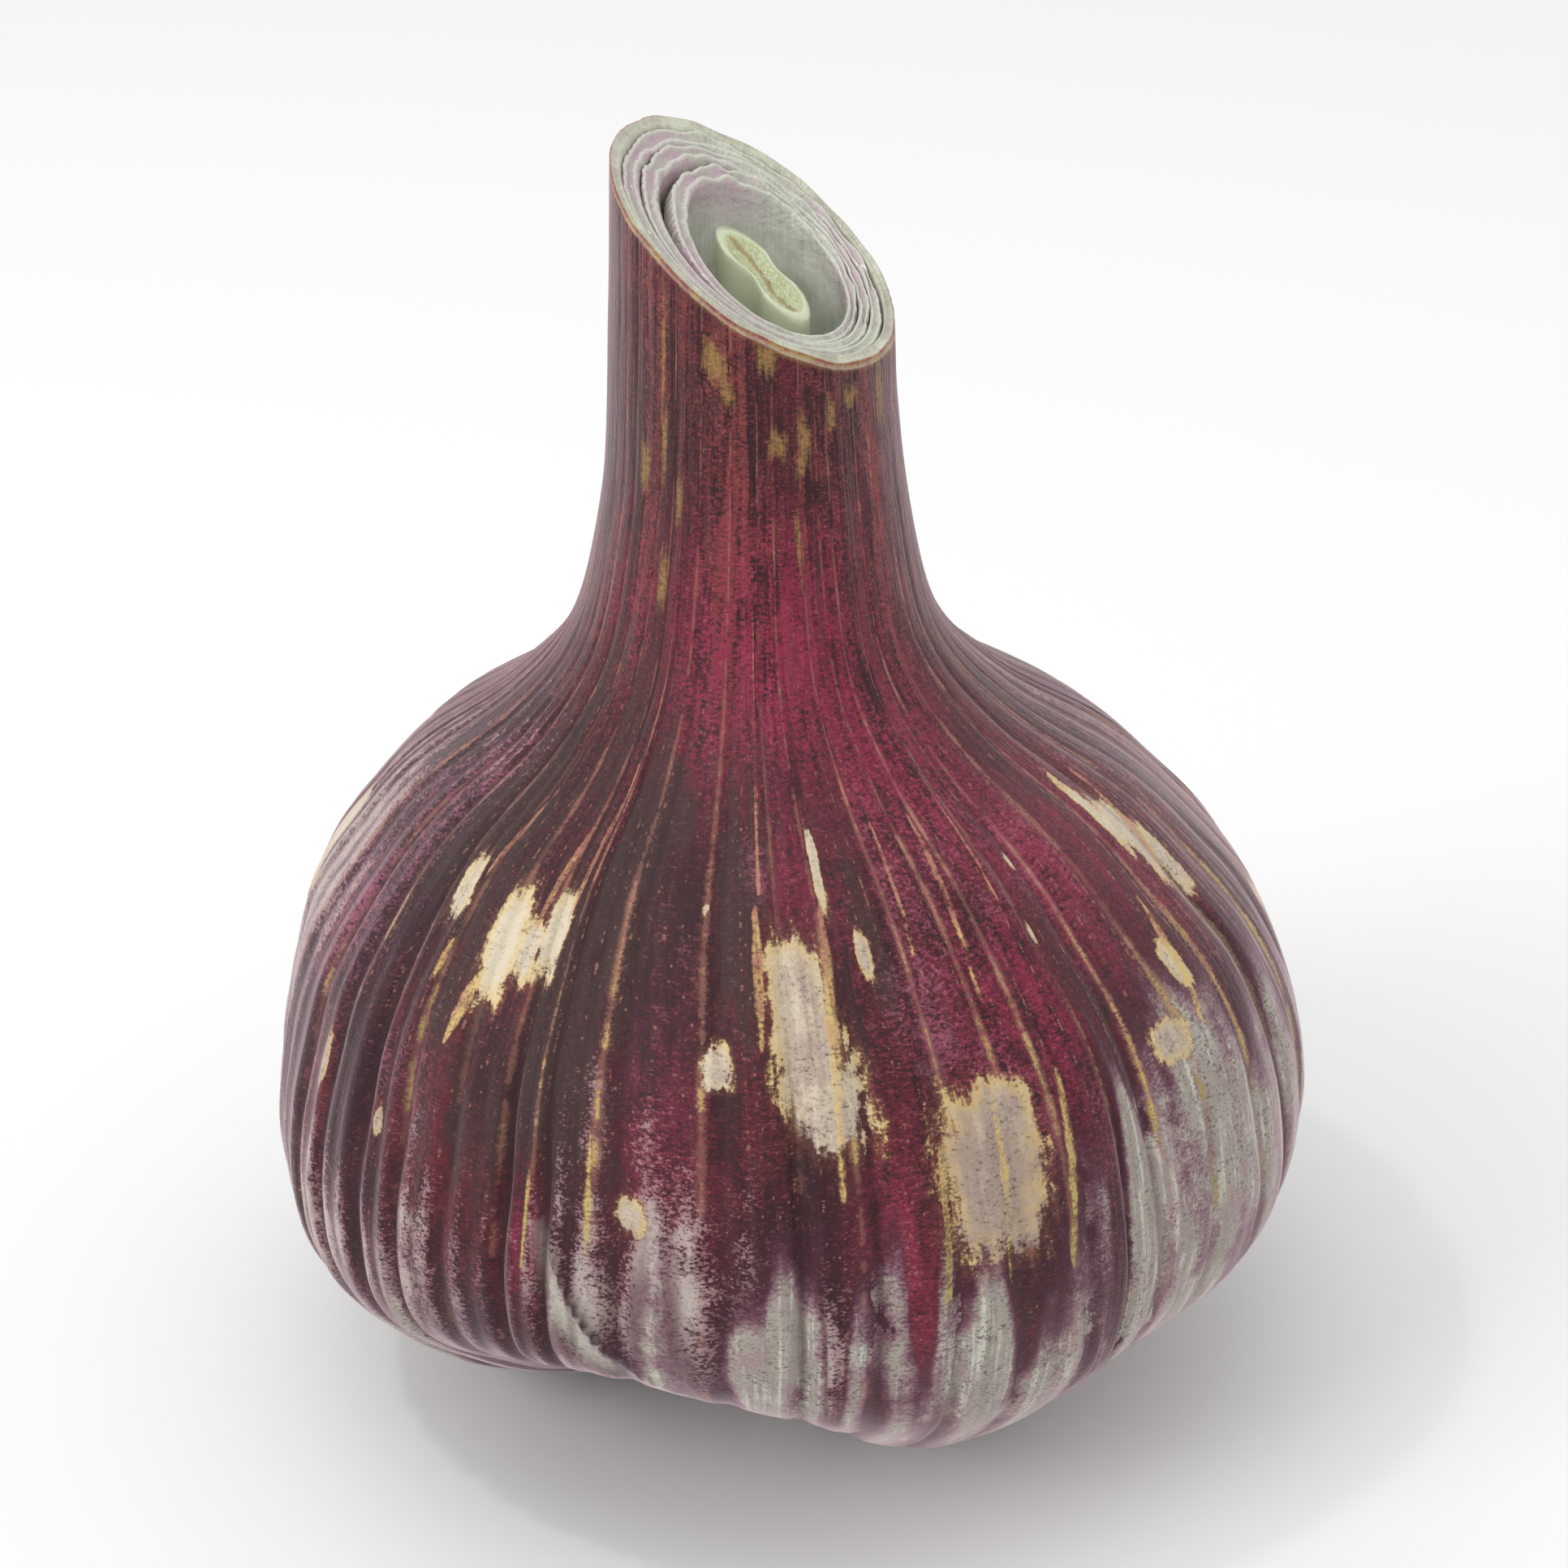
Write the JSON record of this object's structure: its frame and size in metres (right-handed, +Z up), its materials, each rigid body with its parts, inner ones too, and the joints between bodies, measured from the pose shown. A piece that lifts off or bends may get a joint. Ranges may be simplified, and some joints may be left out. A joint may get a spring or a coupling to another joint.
{
  "type": "garlic bulb",
  "caption": "Whole purple-striped garlic bulb with lobed, ribbed wrapper, its neck cut on a slant to show nested sheaths and the stalk.",
  "frame": {"origin": "centre of the root plate's flat underside, on the floor that the bulb stands on", "axes": "+Z up along the bulb, -Y towards the viewer of the picture, +X to the viewer's right"},
  "size_m": [0.0648, 0.0654, 0.0784],
  "materials": {
    "striped_wrapper": "dry papery skin, satin, aubergine with cream streaks",
    "inner_sheath": "moist pale green leaf, glossy at the cut edges",
    "stalk_flesh": "wet cut pith, glossy",
    "root_cork": "dry corky, matte"
  },
  "bodies": {
    "root": {"outer_wrapper": "striped_wrapper", "leaf_sheath_1": "inner_sheath", "leaf_sheath_2": "inner_sheath", "leaf_sheath_3": "inner_sheath", "flower_stalk": "stalk_flesh", "root_plate": "root_cork"}
  },
  "joints": []
}
